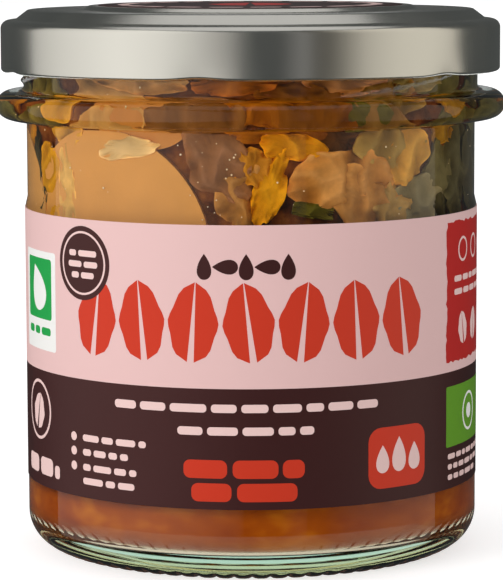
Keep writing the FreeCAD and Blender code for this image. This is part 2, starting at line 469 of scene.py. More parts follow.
cabbage = ([], [], [])
for row in (
    # angle, z, wide, tall, turn, deep, fold, ruffle, thick, colour, seed
    (-62.5, 63.5, 8, 15, 14, 0.1, 0.5, 0.5, 1.1, "#dd9c1c", 3),
    (-55, 73.5, 9, 7, -10, 0.2, 0.5, 0.5, 1.0, "#d9a13c", 5),
    (-54.5, 62.0, 5, 17, 3, 0.0, 0.5, 0.8, 1.0, "#dfae62", 6),
    (-80, 67.0, 9, 19, 12, 0.5, 0.6, 0.6, 1.0, "#c4860f", 8),
    (-8.5, 68.5, 10, 15, 34, 0.1, 0.9, 1.0, 1.2, "#96674a", 11),
    (-2, 63.0, 9, 12, -14, 0.4, 1.2, 0.8, 1.0, "#c08b52", 12),
    (10.5, 70.9, 9.8, 5.4, -6, 0.0, 0.6, 0.9, 1.0, "#dd9312", 14),
    (4.8, 64.0, 5.0, 12.5, -20, 0.0, 0.8, 0.8, 1.0, "#e79f12", 17),
    (0.5, 67.6, 6.5, 7, 15, 0.3, 0.8, 0.8, 1.0, "#cf8c2c", 18),
    (2, 74.0, 12, 4.5, 8, 0.9, 0.8, 0.8, 1.0, "#a9681a", 19),
    (24, 65.5, 17, 11, 12, 0.0, 1.0, 1.1, 1.3, "#cf9355", 23),
    (31, 62.0, 16, 9, -16, 0.3, 1.2, 1.0, 1.3, "#c38b50", 24),
    (22, 71.8, 10, 5, -12, 1.3, 1.0, 0.8, 1.0, "#5c3a20", 26),
    (40, 71.0, 15, 8.5, 8, 0.5, 0.9, 0.8, 1.0, "#a68a52", 29),
    (45, 69.0, 9.5, 9, -24, 0.0, 0.55, 0.9, 1.0, "#d9a24a", 31),
    (49, 61.5, 13, 7.5, 0, 0.5, 0.7, 0.6, 1.0, "#8b8470", 34),
    (40, 61.2, 8, 8, 20, 0.4, 1.0, 0.7, 1.0, "#b08f5c", 37),
    # The dark grey-green pieces at 58, 68 and 82 degrees are painted shade: they stand for the dark seen
    # there through the brine.
    (58, 64.5, 8, 14, -8, 0.9, 0.8, 0.7, 1.0, "#706c54", 40),
    (68, 66.0, 10, 18, -10, 0.5, 0.8, 0.6, 1.0, "#5a5640", 41),
    (82, 65.5, 13, 20, 8, 0.3, 0.6, 0.5, 1.0, "#4c4838", 44),
    (60, 73.0, 7, 6, -14, 0.2, 0.8, 0.8, 1.0, "#b98a1e", 42),
    (-16, 76.0, 16, 6, 5, 0.4, 0.8, 0.8, 1.0, "#8e6038", 43),
    (14, 77.5, 17, 7, -8, 0.3, 1.0, 0.9, 1.1, "#8a5414", 47),
    (36, 78.0, 14, 8, 14, 0.5, 1.0, 0.8, 1.0, "#96713e", 51),
    (-40, 78.5, 15, 8, -14, 0.4, 0.8, 0.7, 1.0, "#cc9f6e", 53),
    # The grey-green pieces at -66, -88, 60 and 82 degrees are painted shade: they stand for the darker
    # grey-green that the glass shows at the sides of the bead.
    (-66, 78.0, 12, 9, 8, 0.6, 0.8, 0.7, 1.0, "#8a8048", 57),
    (-88, 77.0, 15, 10, 10, 0.1, 0.6, 0.6, 1.0, "#6f7050", 58),
    (60, 78.5, 13, 9, -6, 0.7, 0.8, 0.7, 1.0, "#737048", 59),
    (82, 77.0, 16, 10, -12, 0.1, 0.6, 0.6, 1.0, "#62634a", 60),
    (-4, 81.2, 15, 4.5, 5, 0.2, 0.8, 0.7, 1.0, "#c8772a", 61),
    (24, 81.6, 16, 4.5, -5, 0.2, 0.8, 0.7, 1.0, "#bd8050", 62),
    (-30, 81.4, 18, 4.5, -4, 0.1, 0.6, 0.6, 1.0, "#cf9a66", 63),
    (50, 81.3, 15, 4.5, 6, 0.3, 0.8, 0.7, 1.0, "#9c8a5c", 64),
):
    vegetable(cabbage, *row)
rnd = random.Random(86)
leaf_colours = ("#c08a3c", "#b98a4a", "#c8951f", "#a97c42", "#b58f5c", "#9c7a40", "#c28b52")
for k in range(34):
    vegetable(cabbage, 92 + 180 * (k + rnd.uniform(0.1, 0.9)) / 34, 60 + 22 * ((k * 0.618) % 1),
              rnd.uniform(10, 20), rnd.uniform(8, 15), rnd.uniform(-60, 60), rnd.uniform(0.5, 1.5),
              rnd.uniform(0.8, 1.5), rnd.uniform(0.6, 1.1), rnd.uniform(0.9, 1.3),
              rnd.choice(leaf_colours), 100 + k)
leaves = tinted("cabbage_leaves", cabbage)
leaves.data.materials.append(flesh("wet_cabbage", 0.32, 2.38, 0.16, 1.111))

radish = ([], [], [])
for row in (
    (-42.3, 53.1, 40.8, 40.8, 0, 0.45, 0.04, 0.03, 2.4, "#d89c5a", 201),
    (-29.5, 74.4, 17, 8.5, -3, 0.95, 0.2, 0.2, 1.6, "#c98d55", 205),
    (128, 66.0, 26, 26, 0, 0.1, 0.1, 0.05, 2.5, "#d7a468", 211),
    (206, 71.0, 30, 30, 0, 0.1, 0.15, 0.05, 2.5, "#d8a870", 214),
    (268, 56.0, 34, 34, 0, 0.1, 0.15, 0.05, 2.6, "#d49c5e", 219),
):
    vegetable(radish, *row, kind="disc", fine=64)
vegetable(radish, -33.2, 70.4, 11.5, 3.6, 5, 0.0, 0.3, 0.5, 0.9, "#e9c088", 204)
slices = tinted("radish_slices", radish)
slices.data.materials.append(flesh("wet_radish", 0.28, 6.25, 0.05, 2.0))

leek = ([], [], [])
for row in (
    (-71, 66.5, 2.4, 13, 26, 0.0, 0.7, 0.9, 0.8, "#4a4230", 301),
    (-68, 59.5, 2.6, 6, -14, 0.1, 0.6, 0.9, 0.8, "#4c4630", 303),
    (16, 60.4, 7.0, 2.6, -10, 0.1, 0.8, 0.7, 0.8, "#5a5416", 307),
    (34, 76.0, 12, 3.0, 16, 0.7, 0.7, 0.4, 0.8, "#6e6a30", 309),
    (59, 61.5, 4.0, 12, -12, 0.7, 0.8, 0.5, 0.8, "#4a442c", 311),
    (96, 63.0, 3.4, 16, 18, 0.1, 0.7, 0.4, 0.8, "#4f5a2c", 313),
    (150, 68.0, 14, 3.6, 28, 0.0, 0.7, 0.4, 0.8, "#5d6a34", 317),
    (180, 61.0, 3.0, 15, -30, 0.2, 0.7, 0.4, 0.8, "#6d7a3c", 319),
    (236, 66.0, 4.0, 18, 12, 0.0, 0.7, 0.4, 0.8, "#54602e", 323),
):
    vegetable(leek, *row, kind="strip", fine=48)
strips = tinted("leek_strips", leek)
strips.data.materials.append(flesh("wet_leek", 0.3, 3.846, 0.22, 1.429))

for piece in (leaves, slices, strips):
    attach(piece, "root")
    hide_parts("kimchi")


# ---------------------------------------------------------------------------
# Bubbles. The pickle still ferments a little, so gas beads cling to the inside of the glass, most
# of them where a hollow between the pieces holds them.
# ---------------------------------------------------------------------------
def node_inputs(tree, **kinds):
    """Named inputs of a Geometry Nodes tree, each with its socket kind and default value."""
    for name, (kind, value) in kinds.items():
        socket = tree.interface.new_socket(name=name.replace("_", " "), in_out="INPUT", socket_type=kind)
        if value is not None:
            socket.default_value = value
    tree.interface.new_socket(name="Geometry", in_out="OUTPUT", socket_type="NodeSocketGeometry")
    return add(tree, "NodeGroupInput"), add(tree, "NodeGroupOutput")


def grown(name, base, tree, **values):
    """Plain mesh of what tree makes from base, with its named inputs set to values."""
    modifier = base.modifiers.new("made", "NODES")
    modifier.node_group = tree
    for item in tree.interface.items_tree:
        if item.in_out == "INPUT" and item.name in values:
            modifier[item.identifier] = values[item.name]
    mesh = bpy.data.meshes.new_from_object(base.evaluated_get(bpy.context.evaluated_depsgraph_get()))
    mesh.name = name
    bpy.data.objects.remove(base)
    return linked(name, mesh)


# A bubble's pale colour is a painted glint: it stands for the bright gas seen against the dark behind it.
gas, tree, out = material("gas_bubble_skin")
skin = add(tree, "ShaderNodeBsdfPrincipled", Base_Color=srgb("#f4e4cc"), Roughness=0.12, IOR=1.33)
tree.links.new(skin.outputs[0], out.inputs["Surface"])

beads = bpy.data.node_groups.new("gas_beads", "GeometryNodeTree")
given, made = node_inputs(beads, Geometry=("NodeSocketGeometry", None), Density=("NodeSocketFloat", 1e5),
                          Smallest=("NodeSocketFloat", 0.0001), Largest=("NodeSocketFloat", 0.0003),
                          Seed=("NodeSocketInt", 1), Skin=("NodeSocketMaterial", None))
share = add(beads, "GeometryNodeInputNamedAttribute", {"data_type": "FLOAT"}, Name="share")
density = add(beads, "ShaderNodeMath", {"operation": "MULTIPLY"}, i0=given.outputs["Density"],
              i1=share.outputs["Attribute"])
points = add(beads, "GeometryNodeDistributePointsOnFaces", Mesh=given.outputs["Geometry"],
             Density=density.outputs[0], Seed=given.outputs["Seed"])
ball = add(beads, "GeometryNodeMeshIcoSphere", Radius=1.0, Subdivisions=2)
size = add(beads, "FunctionNodeRandomValue", {"data_type": "FLOAT"}, i2=given.outputs["Smallest"],
           i3=given.outputs["Largest"], Seed=given.outputs["Seed"])
placed = add(beads, "GeometryNodeInstanceOnPoints", Points=points.outputs["Points"],
             Instance=ball.outputs["Mesh"], Scale=size.outputs[1])
real = add(beads, "GeometryNodeRealizeInstances", Geometry=placed.outputs[0])
smooth = add(beads, "GeometryNodeSetShadeSmooth", Geometry=real.outputs[0])
skinned = add(beads, "GeometryNodeSetMaterial", Geometry=smooth.outputs[0], Material=given.outputs["Skin"])
beads.links.new(skinned.outputs[0], made.inputs[0])

bead_wall_r = inner_r - 0.12
columns, levels = 120, range(59, 87)
verts, faces, shares = [], [], []
for k in range(columns + 1):
    for z in levels:
        a = math.radians(3 * k - 90)
        verts.append((bead_wall_r * math.cos(a) * MM, bead_wall_r * math.sin(a) * MM, z * MM))
        hollow = math.exp(-((3 * k - 9 + 180) % 360 - 180 + 18) ** 2 / 60.0)
        shares.append(0.03 + 0.9 * hollow * (z < 73) + 0.2 * (noise.noise(Vector(verts[-1]) * 160) > 0.3))
for k in range(columns):
    for n in range(len(levels) - 1):
        p, q = len(levels) * k + n, len(levels) * (k + 1) + n
        faces.append((p, q, q + 1, p + 1))
net = solid("bubble_wall", verts, faces)
net.data.attributes.new("share", "FLOAT", "POINT").data.foreach_set("value", shares)
bubbles = grown("gas_bubbles", net, beads, Density=1.6e5, Smallest=0.00005, Largest=0.00018, Seed=4, Skin=gas)
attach(bubbles, "root")
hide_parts("kimchi")


# ---------------------------------------------------------------------------
# Lid. Twist-off cap pressed from silver-lacquered tinplate, with a raised middle panel, a ring, a
# sloped shoulder, and a rolled edge that is pinched in at six lugs.
# ---------------------------------------------------------------------------
lid_t = 0.25
skirt_r = 42.6
ring_z = jar_h + lid_t
panel_z = ring_z + 0.65
lid_low = ring_z - 10.45
lid_top = rounded([
    (0, panel_z, 0),
    (27.6, panel_z, 0.5),
    (28.4, ring_z, 0.5),
    (38.0, ring_z, 0.8),
    (40.1, ring_z - 1.6, 0.6),
    (skirt_r, ring_z - 1.85, 1.45),
    (skirt_r, lid_low, 0.64),
    (skirt_r - 1.3, lid_low, 0.64),
    (skirt_r - 1.3, lid_low + 1.4, 0),
], 10)
lid_under = rounded([
    (skirt_r - 1.3 + lid_t, lid_low + 1.4, 0),
    (skirt_r - 1.3 + lid_t, lid_low + lid_t, 0.39),
    (skirt_r - lid_t, lid_low + lid_t, 0.39),
    (skirt_r - lid_t, ring_z - 1.85 - lid_t, 1.2),
    (39.9, ring_z - 1.6 - lid_t - 0.05, 0.85),
    (37.9, ring_z - lid_t, 0.55),
    (28.2, ring_z - lid_t, 0.75),
    (27.4, panel_z - lid_t, 0.25),
    (0, panel_z - lid_t, 0),
], 10)


def lid_shape(r, z, a):
    """The pinch of the rolled edge at each lug."""
    if r < 40.5 or z > lid_low + 3.2:
        return r, z
    off = (math.degrees(a) - first_thread + 30) % 60 - 30
    pinch = math.exp(-(off / 5.0) ** 2) * (1 - (z - lid_low) / 3.2) ** 2
    return r - 0.34 * pinch, z + 0.30 * pinch


lid = lathe("twist_off_lid", finer(lid_top + lid_under, 2.5), 360, lid_shape, 45)

# Lacquered tinplate is a soft mirror: broad pale and dark streaks of the room, a little uneven in
# gloss, with a faint orange peel.
tin, tree, out = material("silver_lacquered_tinplate")
spot = add(tree, "ShaderNodeTexCoord")
rolled = add(tree, "ShaderNodeMapping", Vector=spot.outputs["Object"], Scale=(1, 1, 0.35))
smear = add(tree, "ShaderNodeTexNoise", Vector=rolled.outputs[0], Scale=blotch(7.69), Detail=3.0)
rough = add(tree, "ShaderNodeMapRange", Value=smear.outputs["Fac"], From_Min=0.3, From_Max=0.7,
            To_Min=0.20, To_Max=0.26)
peel = add(tree, "ShaderNodeTexNoise", Vector=spot.outputs["Object"], Scale=blotch(0.714), Detail=1.0)
bump = add(tree, "ShaderNodeBump", Height=peel.outputs["Fac"], Strength=0.10, Distance=0.00002)
skin = add(tree, "ShaderNodeBsdfPrincipled", Base_Color=srgb("#e2e0d8"), Metallic=1.0,
           Roughness=rough.outputs[0], Normal=bump.outputs[0])
tree.links.new(skin.outputs[0], out.inputs["Surface"])
lid.data.materials.append(tin)
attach(lid, "root")
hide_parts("lid")

# Six lugs of the rolled edge, which catch under the threads of the glass.
lug_angle, lug_cuts = 11.0, 6
lug_in, lug_out = 39.2, 41.35
lug_low, lug_high = lid_low + 0.35, lid_low + 1.2
lug_verts = []
for k in range(lug_cuts + 1):
    a = math.radians(lug_angle * k / lug_cuts - lug_angle / 2)
    for r, z in ((lug_in, lug_low), (lug_out, lug_low), (lug_out, lug_high), (lug_in, lug_high)):
        lug_verts.append((r * math.cos(a) * MM, r * math.sin(a) * MM, z * MM))
lug_faces = [(3, 2, 1, 0), tuple(4 * lug_cuts + n for n in range(4))]
for k in range(lug_cuts):
    for n in range(4):
        lug_faces.append((4 * k + n, 4 * k + (n + 1) % 4, 4 * k + 4 + (n + 1) % 4, 4 * k + 4 + n))
lug = solid("lid_lug", lug_verts, lug_faces, 30)
turns = bpy.data.node_groups.new("lugs_round_lid", "GeometryNodeTree")
given, made = node_inputs(turns, Geometry=("NodeSocketGeometry", None), Count=("NodeSocketInt", 6),
                          First_angle=("NodeSocketFloat", 0.0), Tin=("NodeSocketMaterial", None))
places = add(turns, "GeometryNodeMeshLine", Count=given.outputs["Count"], Offset=(0, 0, 0))
number = add(turns, "GeometryNodeInputIndex")
part = add(turns, "ShaderNodeMath", {"operation": "DIVIDE"}, i0=number.outputs[0], i1=given.outputs["Count"])
angle = add(turns, "ShaderNodeMath", {"operation": "MULTIPLY_ADD"}, i0=part.outputs[0], i1=2 * math.pi,
            i2=given.outputs["First angle"])
spin = add(turns, "ShaderNodeCombineXYZ", Z=angle.outputs[0])
placed = add(turns, "GeometryNodeInstanceOnPoints", Points=places.outputs[0],
             Instance=given.outputs["Geometry"], Rotation=spin.outputs[0])
real = add(turns, "GeometryNodeRealizeInstances", Geometry=placed.outputs[0])
skinned = add(turns, "GeometryNodeSetMaterial", Geometry=real.outputs[0], Material=given.outputs["Tin"])
turns.links.new(skinned.outputs[0], made.inputs[0])
lugs = grown("lid_lugs", lug, turns, **{"Count": 6, "First angle": math.radians(first_thread), "Tin": tin})
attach(lugs, "root")
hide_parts("lid")


# ---------------------------------------------------------------------------
# Label. One strip of uncoated-feel printed paper wrapped round the wall, glued down, with a pale
# upper field and a dark lower field. Its ends leave a narrow strip of glass open at the back.
# ---------------------------------------------------------------------------
paper_r = body_r + 0.12
label_low, label_split, label_high = 12.5, 32.2, 58.6
half_open = math.degrees(4.0 / body_r)
columns = 350
verts, faces = [], []
for k in range(columns + 1):
    a = math.radians(90 + half_open + (360 - 2 * half_open) * k / columns)
    for r in (body_r + 0.004, paper_r):
        for z in (label_low, label_split, label_high):
            verts.append((r * math.cos(a) * MM, r * math.sin(a) * MM, z * MM))
for k in range(columns):
    p, q = 6 * k, 6 * k + 6
    faces += [(p + 3, q + 3, q + 4, p + 4), (p + 4, q + 4, q + 5, p + 5),
              (p, p + 1, q + 1, q), (p + 1, p + 2, q + 2, q + 1),
              (p, q, q + 3, p + 3), (p + 2, p + 5, q + 5, q + 2)]
end = 6 * columns
faces += [(0, 3, 4, 1), (1, 4, 5, 2), (end, end + 1, end + 4, end + 3), (end + 1, end + 2, end + 5, end + 4)]
label = solid("wrap_label_paper", verts, faces, 30)


def paper(name, colour, rough, crease=0.35):
    """Printed paper: one ink colour, with the slight waves and fibre of glued-down paper."""
    made, tree, out = material(name)
    spot = add(tree, "ShaderNodeTexCoord")
    waves = add(tree, "ShaderNodeTexNoise", Vector=spot.outputs["Object"], Scale=blotch(3.846), Detail=3.0)
    bump = add(tree, "ShaderNodeBump", Height=waves.outputs["Fac"], Strength=crease, Distance=0.0001)
    skin = add(tree, "ShaderNodeBsdfPrincipled", Base_Color=srgb(colour), Roughness=rough,
               IOR=1.36, Normal=bump.outputs[0])
    tree.links.new(skin.outputs[0], out.inputs["Surface"])
    return made


pink = paper("paper_printed_pink", "#e6bebb", 0.5)
maroon = paper("paper_printed_maroon", "#3e1615", 0.46, 0.6)
label.data.materials.append(pink)
label.data.materials.append(maroon)
for face in label.data.polygons:
    face.material_index = 1 if face.center.z < label_split * MM else 0
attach(label, "root")
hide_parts("wrap_label")


# ---------------------------------------------------------------------------
# Print on the label. Plain shapes in flat ink: leaves, drops, seeds, and rounded bars where a pack
# carries its lines of words. Each shape is a skin of ink that follows the round of the jar.
# ---------------------------------------------------------------------------
def disc(u, v, r, count=28):
    return [(u + r * math.cos(2 * math.pi * k / count), v + r * math.sin(2 * math.pi * k / count))
            for k in range(count)]


def bar(u, v, wide, tall, r=None):
    """Rounded bar whose middle is at (u, v)."""
    r = min(wide, tall) / 2 if r is None else r
    out = []
    for cu, cv, start in ((wide / 2 - r, tall / 2 - r, 0), (-wide / 2 + r, tall / 2 - r, 90),
                          (-wide / 2 + r, -tall / 2 + r, 180), (wide / 2 - r, -tall / 2 + r, 270)):
        for k in range(6):
            a = math.radians(start + 18 * k)
            out.append((u + cu + r * math.cos(a), v + cv + r * math.sin(a)))
    return out


def ring(u, v, r, width, count=32):
    """Ring as short blocks side by side."""
    out = []
    for k in range(count):
        a, b = 2 * math.pi * k / count, 2 * math.pi * (k + 1) / count
        out.append([(u + q * math.cos(c), v + q * math.sin(c))
                    for q, c in ((r, a), (r + width, a), (r + width, b), (r, b))])
    return out


def turned(loop, u, v, degrees):
    c, s = math.cos(math.radians(degrees)), math.sin(math.radians(degrees))
    return [(u + (x - u) * c - (y - v) * s, v + (x - u) * s + (y - v) * c) for x, y in loop]


def drop(u, v, wide, tall, lean=0, count=14):
    """Drop with its point up."""
    out = []
    for k in range(2 * count):
        t = math.pi * k / count
        out.append((u + wide / 2 * math.sin(t) * math.sin(t / 2), v + tall / 2 * math.cos(t)))
    return turned(out, u, v, lean)


def leaf(u, v, wide, tall, rib, lean=0, count=12):
    """Broad leaf in two halves with its rib left open."""
    halves = []
    for side in (1, -1):
        loop = []
        for k in range(count + 1):
            t = k / count
            swell = math.sin(math.pi * min(1.0, t ** 0.8)) ** 0.62 * (0.80 + 0.35 * t)
            frill = 0.06 * math.sin(5 * math.pi * t)
            loop.append((u + side * (rib / 2 * (1.15 - t) + wide / 2 * (swell + frill * swell)),
                         v - tall / 2 + tall * t))
        loop += [(u + side * rib / 2 * (1.15 - t), v - tall / 2 + tall * t)
                 for t in (0.94, 0.75, 0.5, 0.25, 0.05)]
        halves.append(turned(loop, u, v, lean))
    return halves


def words(u0, u1, v, tall, seed, longest=6.5):
    """Line of bars as long as words, from u0 to u1."""
    rnd = random.Random(seed)
    out, u, gap = [], u0, 0.55 * tall
    while u < u1 - tall:
        wide = min(rnd.uniform(1.6 * tall, longest), u1 - u)
        if u1 - (u + wide + gap) < tall:
            wide = u1 - u
        out.append(bar(u + wide / 2, v, wide, tall, 0.42 * tall))
        u += wide + gap
    return out


def printed(name, loops, ink, lift=0.016):
    """Skin of ink round the label: u runs round the jar to the right of the front, v is height."""
    bm = bmesh.new()
    for loop in loops:
        bm.faces.new([bm.verts.new((x * MM, y * MM, 0)) for x, y in loop])
    bmesh.ops.triangulate(bm, faces=bm.faces)
    low = min(x for loop in loops for x, _ in loop)
    high = max(x for loop in loops for x, _ in loop)
    step = math.radians(2) * paper_r
    for k in range(math.ceil(low / step), math.floor(high / step) + 1):
        bmesh.ops.bisect_plane(bm, geom=bm.verts[:] + bm.edges[:] + bm.faces[:],
                               plane_co=(k * step * MM, 0, 0), plane_no=(1, 0, 0), dist=1e-7)
    front = bm.faces[:]
    grown = bmesh.ops.extrude_face_region(bm, geom=front, use_keep_orig=True)
    for vert in [v for v in grown["geom"] if isinstance(v, bmesh.types.BMVert)]:
        vert.co.z = -0.03 * MM
    for vert in bm.verts:
        a = vert.co.x / (paper_r * MM) - math.pi / 2
        r = (paper_r + lift) * MM + vert.co.z
        vert.co = (r * math.cos(a), r * math.sin(a), vert.co.y)
    bmesh.ops.recalc_face_normals(bm, faces=bm.faces)
    mesh = bpy.data.meshes.new(name)
    bm.to_mesh(mesh)
    bm.free()
    mesh.polygons.foreach_set("use_smooth", [True] * len(mesh.polygons))
    mesh.set_sharp_from_angle(angle=math.radians(30))
    mesh.materials.append(ink)
    piece = linked(name, mesh)
    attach(piece, "root")
    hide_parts("wrap_label")


# Flat inks with the dull, slightly waved skin of the paper. Ink over ink stands higher, in mm.
over_ink, top_ink = 0.030, 0.044
red_ink = paper("ink_warm_red", "#cb300f", 0.45)
dark_red_ink = paper("ink_dark_red", "#bb0f06", 0.45)
pale_ink = paper("ink_pale_pink", "#ecc9c4", 0.5)
white_ink = paper("ink_white", "#efeeea", 0.5)
green_ink = paper("ink_green", "#0aa045", 0.5)
leaf_green_ink = paper("ink_leaf_green", "#5f9a10", 0.5)

band = []
for k, lean in enumerate((-7, 5, -4, 7, -6, 4, 7)):
    band += leaf(-27.6 + 9.05 * k, 42.9, 7.7, 13.0, 1.0, lean)
printed("print_leaf_band", band, red_ink)
printed("print_seed_row", [drop(-7.6 + 3.4 * k, 51.9, 3.1, 4.2, 90 * (k % 2)) for k in range(5)], maroon)

badge_u, badge_v = -30.7, 51.4
printed("print_badge", [disc(badge_u, badge_v, 6.1, 48)], maroon, over_ink)
printed("print_badge_marks", ring(badge_u, badge_v, 4.9, 0.35, 40)
        + words(-34.0, -27.4, 53.0, 1.0, 1, 3.0) + words(-34.2, -27.2, 51.2, 1.0, 2, 3.4)
        + words(-33.4, -28.0, 49.4, 1.0, 3, 2.6), pale_ink, top_ink)

card_u = -45.2
printed("print_white_card", [bar(card_u, 44.0, 13.6, 16.6, 0.5)], white_ink)
printed("print_card_field", [bar(card_u, 46.0, 10.8, 10.2, 0.6)], green_ink, over_ink)
printed("print_card_drop", [drop(card_u, 46.2, 7.6, 8.0, 24)], white_ink, top_ink)
printed("print_card_lines", words(-50.2, -40.2, 38.9, 1.3, 4, 4.4), green_ink, over_ink)

rnd = random.Random(7)
left, right, foot, head = 38.3, 63.5, 33.9, 57.2
corners = ((left, foot), (right, foot), (right, head), (left, head))
tooth, jag_most = 0.75, 0.28
ragged = []
for (ua, va), (ub, vb) in zip(corners, corners[1:] + corners[:1]):
    count = int(math.hypot(ub - ua, vb - va) / tooth)
    for k in range(count):
        jag = rnd.uniform(-jag_most, jag_most)
        t = k / count
        ragged.append((ua + (ub - ua) * t + jag * (va != vb), va + (vb - va) * t + jag * (ua != ub)))
printed("print_red_panel", [ragged], dark_red_ink)
panel_marks = words(41.0, 60.5, 47.6, 1.0, 9, 4.5) + words(41.0, 57.0, 45.4, 1.0, 10, 4.5)
for k, lean in enumerate((12, -8, 10)):
    panel_marks += ring(44.6 + 6.3 * k, 52.4, 1.7, 0.42, 24)
    panel_marks += leaf(44.6 + 6.3 * k, 39.2, 3.6, 5.6, 0.5, lean)
printed("print_panel_marks", panel_marks, pale_ink, over_ink)

lines = words(-23.7, 21.6, 29.0, 1.35, 11) + words(-12.2, 10.2, 25.3, 1.35, 12)
for v, end in ((22.5, -17.8), (20.1, -21.2), (17.6, -19.6), (15.3, -20.0)):
    lines += words(-31.0, end, v, 1.1, int(v * 10), 4.6)
for v in (22.5, 20.1, 17.6):
    lines.append(disc(-33.3, v, 0.75, 16))
lines += ring(-45.5, 25.4, 4.6, 0.5) + leaf(-45.5, 25.2, 4.6, 6.2, 0.6, -14)
lines += [bar(-48.6, 16.0, 5.4, 3.0, 0.9), bar(-42.4, 16.0, 5.0, 3.0, 0.9), bar(-38.4, 15.6, 1.6, 2.2, 0.6)]
printed("print_pale_lines", lines, pale_ink)
printed("print_red_lines", [bar(-7.6, 19.1, 7.2, 3.0, 1.1), bar(0.6, 19.1, 7.4, 3.0, 1.1),
                            bar(6.8, 19.1, 3.6, 3.0, 1.1), bar(-6.6, 15.3, 6.6, 3.0, 1.1),
                            bar(2.5, 15.3, 9.8, 3.0, 1.1)], red_ink)
printed("print_red_square", [bar(25.9, 19.8, 12.2, 10.1, 2.4)], red_ink)
printed("print_square_drops", [drop(22.6, 19.6, 3.4, 4.6), drop(26.0, 20.2, 3.8, 5.8),
                               drop(29.4, 19.6, 3.4, 4.6)], pale_ink, over_ink)
field_u, field_v = 48.0, 24.6
printed("print_green_field", [bar(field_u, field_v, 19.4, 10.2, 0.3)], leaf_green_ink)
printed("print_green_marks", ring(field_u, field_v, 2.9, 0.45, 28) + [disc(field_u, field_v, 1.3)],
        white_ink, over_ink)
small = []
for k in range(3):
    small += words(38.9, 56.4 - 2 * k, 17.9 - 1.75 * k, 0.9, 30 + k, 3.6)
printed("print_small_lines", small, pale_ink)

back = []
for k in range(9):
    back += words(-108, -68 - 5 * (k % 3), 54.5 - 2.2 * k, 0.95, 50 + k, 6)
printed("print_back_lines", back, maroon)
table = []
for k in range(6):
    v = 28.2 - 2.3 * k
    table += words(-108, -92 - 2 * (k % 2), v, 0.9, 70 + k, 5) + words(-74, -66, v, 0.9, 80 + k, 4)
    table += words(70, 104 - 6 * (k % 3), v, 0.9, 90 + k, 6)
printed("print_back_pale_lines", table, pale_ink)
back_band = []
for k, lean in enumerate((6, -5, 5, -6)):
    back_band += leaf(74 + 9.5 * k, 46.0, 7.4, 13.0, 1.0, lean)
printed("print_back_leaves", back_band, red_ink)


# ---------------------------------------------------------------------------
# Round label on the lid. The same dark paper, glued on the raised panel, with a ring of pale marks
# near its edge and a plain leaf in the middle.
# ---------------------------------------------------------------------------
seal_r, seal_low, seal_z = 26.0, panel_z + 0.003, panel_z + 0.108
seal_run = [(0, seal_low), (seal_r, seal_low), (seal_r, seal_z), (0, seal_z)]
seal = lathe("lid_label_paper", seal_run, 180, None, 30)
seal.data.materials.append(maroon)
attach(seal, "root")
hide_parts("lid_label")


def flat_print(name, loops, ink):
    """Skin of ink on the lid's label."""
    bm = bmesh.new()
    for loop in loops:
        bm.faces.new([bm.verts.new((x * MM, y * MM, (seal_z - 0.002) * MM)) for x, y in loop])
    bmesh.ops.triangulate(bm, faces=bm.faces)
    for face in bm.faces:
        face.normal_update()
        if face.normal.z < 0:
            face.normal_flip()
    mesh = bpy.data.meshes.new(name)
    bm.to_mesh(mesh)
    bm.free()
    mesh.materials.append(ink)
    piece = linked(name, mesh)
    thick = piece.modifiers.new("ink", "SOLIDIFY")
    thick.thickness, thick.offset = 0.012 * MM, 1
    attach(piece, "root")
    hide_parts("lid_label")


marks_r, mark_gap = 21.6, 1.5
round_marks = []
rnd = random.Random(5)
a = 0.0
while a < 352:
    wide = rnd.uniform(3.0, 6.5)
    mark = bar(0, -marks_r, wide, 2.0, 0.8)
    round_marks.append(turned(mark, 0, 0, a + math.degrees(wide / 2 / marks_r)))
    a += math.degrees((wide + mark_gap) / marks_r)
flat_print("lid_print_ring", round_marks, pale_ink)
flat_print("lid_print_leaf", leaf(0, 0, 13, 18, 1.4), dark_red_ink)


# ---------------------------------------------------------------------------
# Studio: a pale floor, a tall soft light on each side, and a dark surround that only shines show,
# so that the metal and the glass have dark edges against the white.
# ---------------------------------------------------------------------------
def card(name, centre, along, up, wide, tall):
    """Upright or level rectangle, with its middle, directions and sizes in metres."""
    c, a, b = Vector(centre), Vector(along).normalized() * wide / 2, Vector(up).normalized() * tall / 2
    mesh = bpy.data.meshes.new(name)
    mesh.from_pydata([c - a - b, c + a - b, c + a + b, c - a + b], [], [(0, 1, 2, 3)])
    layer = mesh.uv_layers.new(name="UVMap")
    for k, uv in enumerate(((0, 0), (1, 0), (1, 1), (0, 1))):
        layer.data[k].uv = uv
    made = linked(name, mesh)
    return made


def shines_only(piece):
    """Hides a piece from all rays but those that metal, glass and ink reflect."""
    for way in ("camera", "diffuse", "transmission", "shadow"):
        setattr(piece, "visible_" + way, False)


def glowing(name, colour, strength=1.0):
    """Cloth of one even brightness."""
    cloth, tree, out = material(name)
    glow = add(tree, "ShaderNodeEmission", Color=colour, Strength=strength)
    tree.links.new(glow.outputs[0], out.inputs[0])
    return cloth


def softbox(name, first, last, distance, low, high, stops, cloth_colour="#ffffff"):
    """Soft light seen from the jar between two directions, in degrees to the right of the camera.
    stops are (share of the way from first to last, brightness)."""
    middle = math.radians((first + last) / 2)
    wide = 2 * distance * math.tan(math.radians(abs(last - first) / 2))
    out_dir = Vector((math.sin(middle), -math.cos(middle), 0))
    along = Vector((math.cos(middle), math.sin(middle), 0))
    centre = out_dir * distance + Vector((0, 0, (low + high) / 2))
    box = card(name, centre, along, (0, 0, 1), wide, high - low)
    cloth, tree, out = material(name + "_cloth")
    place = add(tree, "ShaderNodeUVMap")
    parts = add(tree, "ShaderNodeSeparateXYZ", Vector=place.outputs[0])
    ramp = colour_ramp(tree, parts.outputs[0], [
        (share, [light * c for c in srgb(cloth_colour)[:3]] + [1]) for share, light in stops])
    glow = add(tree, "ShaderNodeEmission", Color=ramp.outputs[0], Strength=1.0)
    tree.links.new(glow.outputs[0], out.inputs[0])
    box.data.materials.append(cloth)
    shines_only(box)


